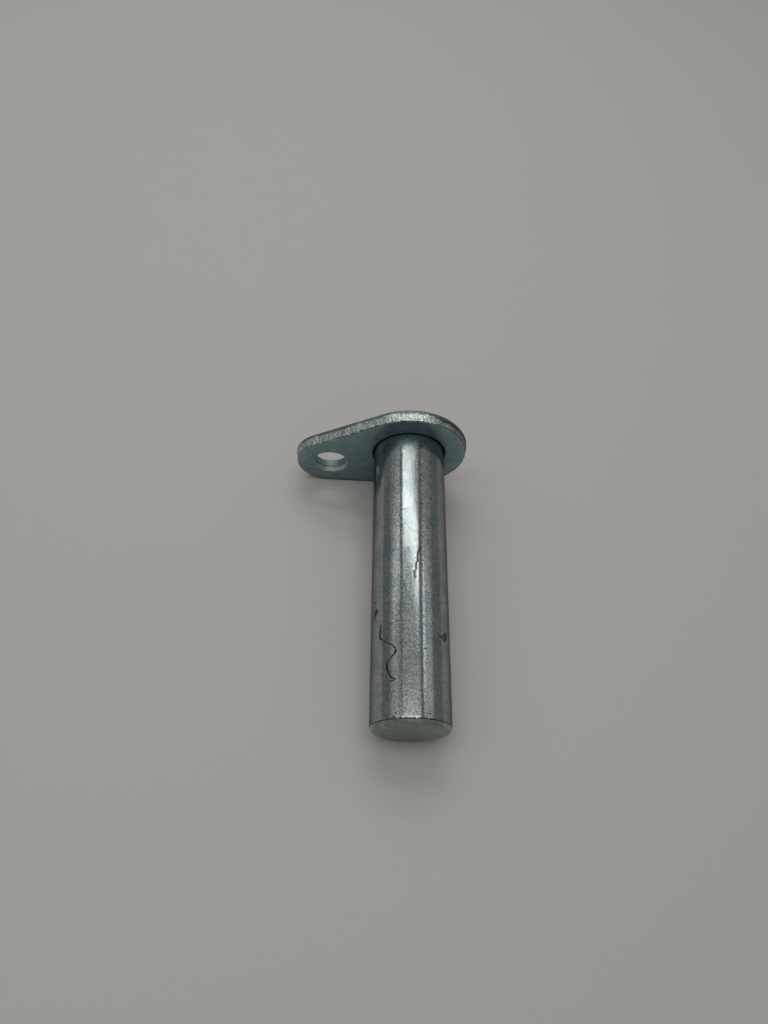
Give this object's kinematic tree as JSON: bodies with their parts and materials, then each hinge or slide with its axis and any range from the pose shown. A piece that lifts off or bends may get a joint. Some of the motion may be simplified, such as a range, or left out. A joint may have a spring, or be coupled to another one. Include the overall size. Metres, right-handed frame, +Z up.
{
  "type": "mounting pin",
  "caption": "Plain round steel mounting pin with a chamfered tip, welded through a teardrop flag plate with a hole for a retaining bolt.",
  "frame": {"origin": "on the shank's axis, in the plane of the flag plate's seat face (the side the shank's long end stands out from)", "axes": "+Z up with the pin lying at rest on the flag's flank and the tip's rim; +Y towards the tail and the weld, so the tip points to -Y and leans down by 4.64 degrees; +X across, so the flag's lug points to -X"},
  "size_m": [0.062, 0.111, 0.0419],
  "materials": {
    "plated_bar": "drawn bar, zinc plated and passivated, satin",
    "plated_flag": "blanked plate, zinc plated and passivated, satin",
    "plated_weld": "weld run, zinc plated and passivated, dull"
  },
  "bodies": {
    "root": {"shank": "plated_bar", "flag_plate": "plated_flag", "weld_bead": "plated_weld"}
  },
  "joints": []
}
